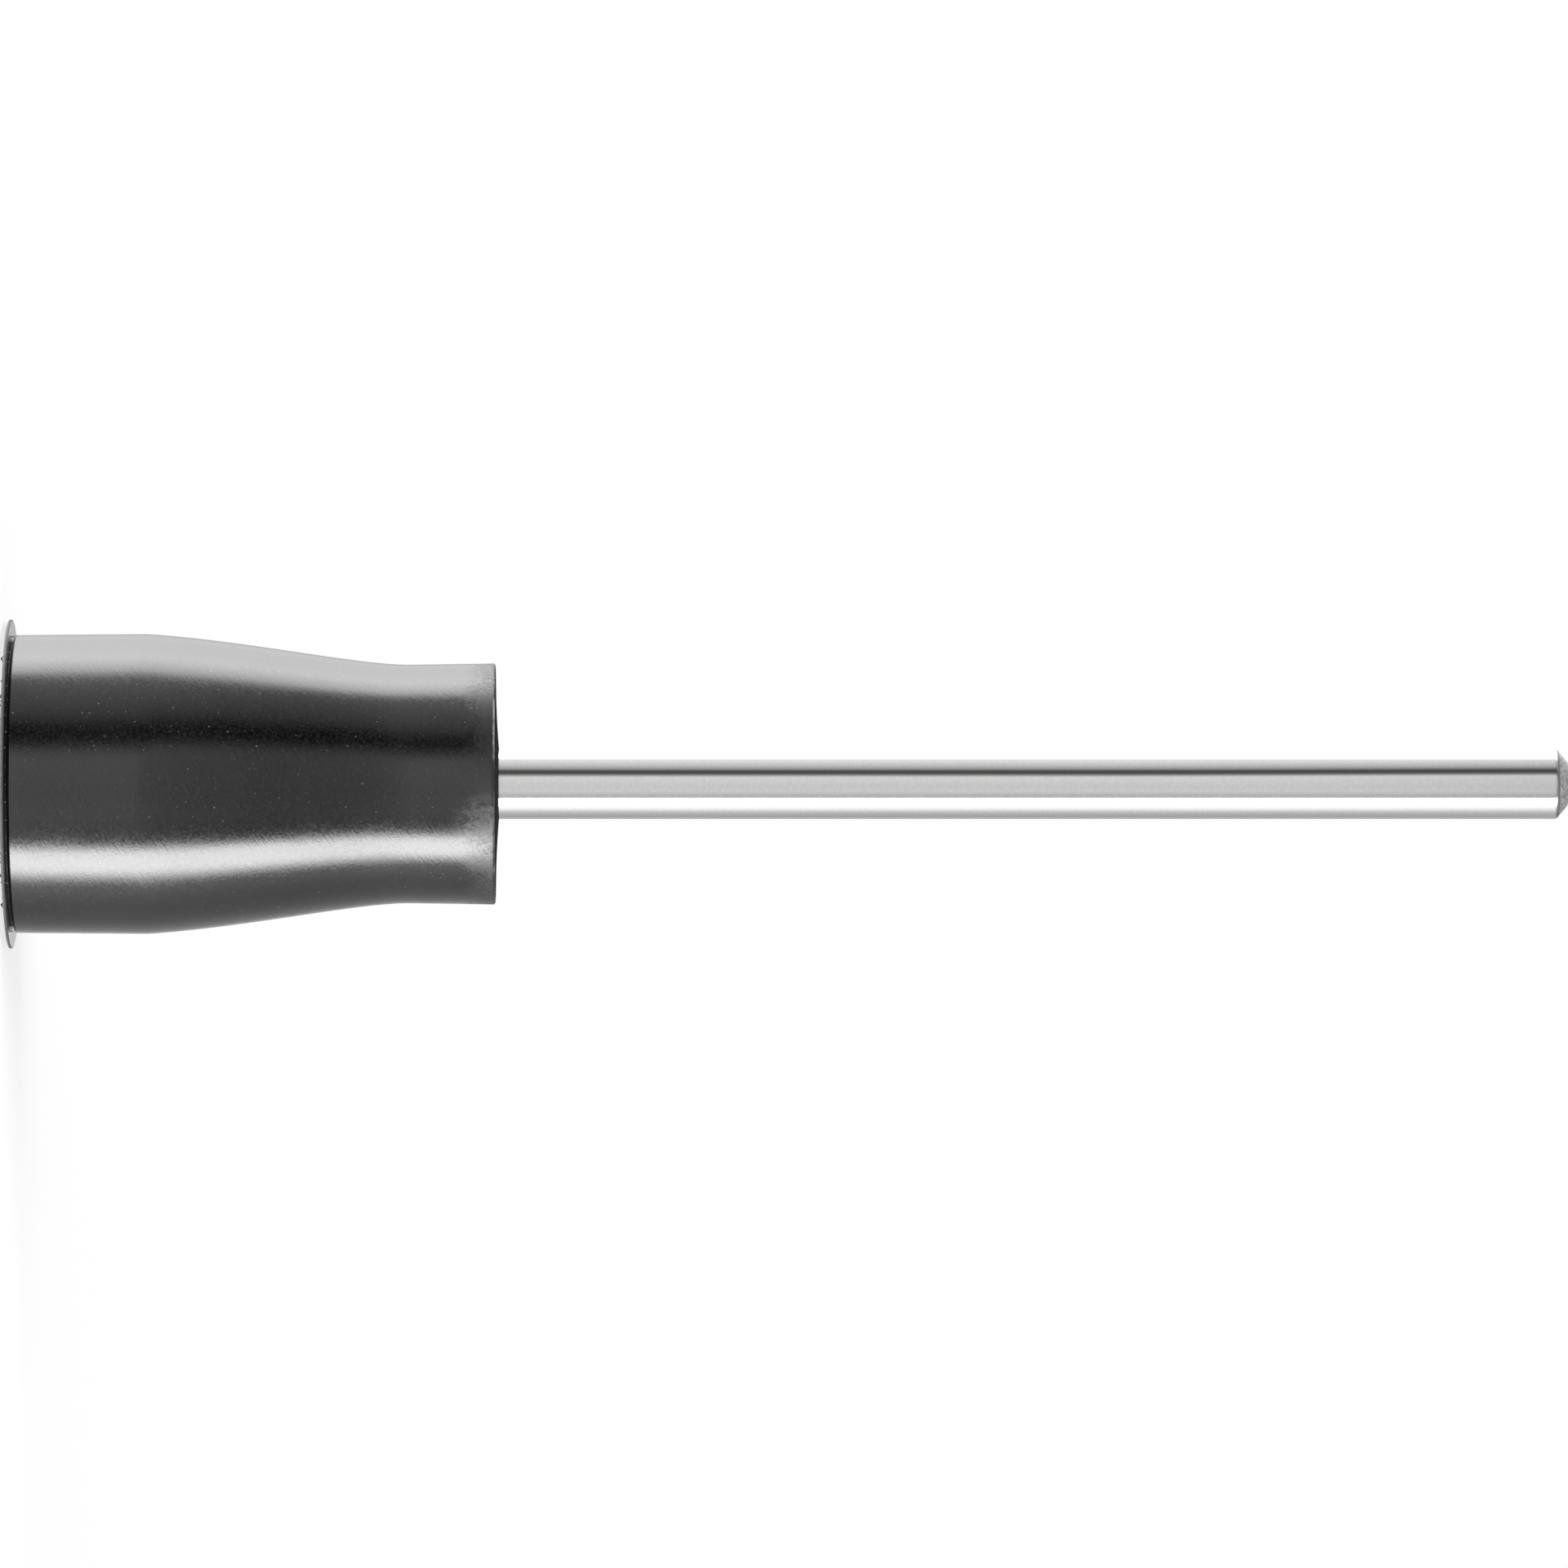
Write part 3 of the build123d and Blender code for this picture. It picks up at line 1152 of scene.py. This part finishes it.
@dataclass(frozen=True)
class RingLight:
    """Brightness of the studio round the tool, as a glossy surface sees it, by the angle about Z.

    Angle 0 is towards the camera's side, and angles grow towards minus X. Shares are of the full
    circle, from behind the tool, and rises are a direction's Z.
    """

    walls: tuple[Range, ...] = (
        *((-180, 1.0), (-160, 0.6), (-134, 0.58), (-121, 0.66), (-111, 0.78), (-102, 0.98)),
        *((-94, 1.3), (-89, 1.5), (-77, 1.3), (-49, 0.9), (-40, 0.7), (-25, 0.95), (-8, 0.92)),
        *((8, 0.98), (20, 1.05), (24, 0.9), (28, 0.5), (33, 0.18), (37, 0.11), (42, 0.11)),
        *((46, 0.21), (51, 0.5), (57, 0.68), (63, 0.84), (70, 0.97), (83, 1.2), (160, 1.0)),
        *((166, 0.55), (174, 0.55), (180, 1.0)),
    )
    softboxes: tuple[Range, ...] = (
        *((-180, 0.0), (-84, 0.0), (-81, 1.0), (-76, 7.1), (-71, 15.0), (-54, 15.5), (-50.5, 6.0)),
        *((-47.5, 0.0), (89, 0.0), (93, 1.3), (98, 5.1), (112, 6.1), (128, 3.4), (144, 1.55)),
        *((160, 0.5), (180, 0.0)),
    )
    brightest: float = 20.0
    twist: float = 5.0
    twist_rise: Range = (0.03, 0.15)
    twist_share: Range = (0.5, 0.54)
    dimmed_rise: Range = (0.06, 0.33)
    dimmed_walls: float = 0.65
    dimmed_softboxes: float = 0.93
    low_lift: float = 0.34
    low_rise: Range = (-0.035, -0.06)
    low_start: Range = (0.36, 0.39)
    low_end: Range = (0.618, 0.578)
    zenith: float = 0.36
    zenith_glow: float = 0.6
    zenith_rise: Range = (0.4, 0.65)
    nadir: float = 1.0
    nadir_rise: Range = (-0.6, -0.9)

    def band(self, wiring: Wiring, share: Value, stops: Sequence[Range]) -> Socket:
        """Turns stops into brightness round the circle.

        Args:
            wiring: the world's wiring.
            share: the angle as a share of the full circle.
            stops: angles in degrees and the brightness there.

        Returns:
            The brightness at that angle.
        """
        ramp = wiring.put("ShaderNodeValToRGB", {0: share})
        elements = ramp.color_ramp.elements
        elements[0].position, elements[1].position = 0.0, 1.0
        for degrees, _ in stops[1:-1]:
            elements.new(degrees / 360 + 0.5)
        for element, (_, level) in zip(elements, stops):
            element.color = grey(level / self.brightest)
        return wiring.times(ramp.outputs[0], self.brightest)

    def brightness(self, wiring: Wiring, direction: Value) -> Socket:
        """Works out the brightness in a direction.

        Args:
            wiring: the world's wiring.
            direction: where the ray goes.

        Returns:
            The brightness there.
        """
        x, y, z = wiring.put("ShaderNodeSeparateXYZ", {0: direction}).outputs
        angle = wiring.math("ARCTAN2", wiring.times(x, -1.0), wiring.times(y, -1.0))
        share = wiring.math("ADD", wiring.math("DIVIDE", angle, math.tau), 0.5)
        twist = wiring.times(wiring.ramp(z, *self.twist_rise), wiring.ramp(share, *self.twist_share))
        twisted = wiring.math("SUBTRACT", share, wiring.times(twist, self.twist / 360))
        walls, boxes = self.band(wiring, twisted, self.walls), self.band(wiring, share, self.softboxes)
        above = wiring.times(wiring.math("ADD", walls, self.zenith_glow), self.zenith)
        walls = wiring.times(walls, wiring.ramp(z, *self.dimmed_rise, 1.0, self.dimmed_walls))
        boxes = wiring.times(boxes, wiring.ramp(z, *self.dimmed_rise, 1.0, self.dimmed_softboxes))
        front = wiring.times(wiring.ramp(share, *self.low_start), wiring.ramp(share, *self.low_end))
        lift = wiring.times(wiring.ramp(z, *self.low_rise, 0.0, self.low_lift), front)
        walls = wiring.times(walls, wiring.math("ADD", lift, 1.0))
        ring = wiring.blend(wiring.ramp(z, *self.zenith_rise), wiring.math("ADD", walls, boxes), above)
        return wiring.blend(wiring.ramp(z, *self.nadir_rise), ring, self.nadir)


@dataclass
class Studio:
    """White room, one soft lamp and a pale floor."""

    ring: RingLight = RingLight()
    floor: PaleFloor = PaleFloor()
    room_light: float = 0.6
    lamp_power: float = 5.0
    lamp_size: float = 0.5
    lamp_place: Spot = (-0.32, -0.38, 0.62)
    lamp_target: Spot = (0.0, 0.0, 20 * MM)
    floor_radius: float = 12.0
    floor_sides: int = 64

    def walls(self) -> None:
        """Lights the world: white to the camera, the ring to glossy surfaces, plain to the rest."""
        world = bpy.data.worlds.new("studio")
        bpy.context.scene.world = world
        world.use_nodes = True
        world.cycles.sampling_method = "NONE"
        wiring = Wiring(world.node_tree)
        path = wiring.put("ShaderNodeLightPath").outputs
        ring = self.ring.brightness(wiring, wiring.put("ShaderNodeTexCoord").outputs["Generated"])
        open_view = wiring.math("MAXIMUM", path["Is Camera Ray"], path["Is Transmission Ray"])
        strength = wiring.blend(open_view, self.room_light, 1.0)
        strength = wiring.blend(path["Is Glossy Ray"], strength, ring)
        light = wiring.out("ShaderNodeBackground", {"Color": grey(1.0), "Strength": strength})
        wiring.put("ShaderNodeOutputWorld", {"Surface": light})

    def lamp(self) -> None:
        """Hangs the soft lamp that shapes the object and casts its shadow."""
        data = bpy.data.lights.new("soft_lamp", "AREA")
        data.shape = "DISK"
        data.size = self.lamp_size
        data.energy = self.lamp_power
        lamp = add_object("soft_lamp", data)
        lamp.location = self.lamp_place
        lamp.rotation_mode = "QUATERNION"
        aim = Vector(self.lamp_target) - Vector(self.lamp_place)
        lamp.rotation_quaternion = aim.to_track_quat("-Z", "Y")
        lamp.visible_camera = False
        lamp.visible_glossy = False

    def ground(self) -> None:
        """Lays the floor under the hooks."""
        angles = np.linspace(0, math.tau, self.floor_sides, endpoint=False)
        corners = [(self.floor_radius * math.cos(a), self.floor_radius * math.sin(a), 0.0) for a in angles]
        mesh = bpy.data.meshes.new("floor")
        mesh.from_pydata(corners, [], [tuple(range(self.floor_sides))])
        mesh.materials.append(self.floor.material())
        floor = add_object("floor", mesh)
        floor.visible_glossy = False

    def build(self) -> None:
        """Makes the whole studio."""
        self.walls()
        self.lamp()
        self.ground()


@dataclass(frozen=True)
class Viewpoint:
    """The photograph's camera: level with the tool's middle, turned so that the shank points right."""

    lens: float = 290.0
    sensor: float = 36.0
    nearest: float = 0.01
    furthest: float = 100.0
    seen_width: float = 66.97 * MM
    middle_height: float = 33.30 * MM

    def build(self) -> None:
        """Makes the camera and gives it to the scene."""
        data = bpy.data.cameras.new("camera")
        data.lens = self.lens
        data.sensor_width = self.sensor
        data.clip_start, data.clip_end = self.nearest, self.furthest
        camera = add_object("camera", data)
        distance = self.seen_width * self.lens / self.sensor
        right, up, back = Vector((0, 0, 1)), Vector((-1, 0, 0)), Vector((0, -1, 0))
        turn = Matrix((right, up, back)).transposed().to_4x4()
        camera.matrix_world = Matrix.Translation((0, -distance, self.middle_height)) @ turn
        bpy.context.scene.camera = camera


def main() -> None:
    """Builds the tool and the studio."""
    logging.basicConfig(level=logging.INFO, format="%(message)s")
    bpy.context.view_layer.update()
    turning, end = TurnedShape(), BondedEnd()
    Shank(turning, end).build()
    RubberBody(turning, end).build()
    AdhesiveFilm(turning, BeadRing()).build()
    HookDisc(turning, HookField()).build()
    Studio().build()
    Viewpoint().build()
    bpy.context.scene.view_settings.view_transform = "Standard"


if __name__ == "__main__":
    main()
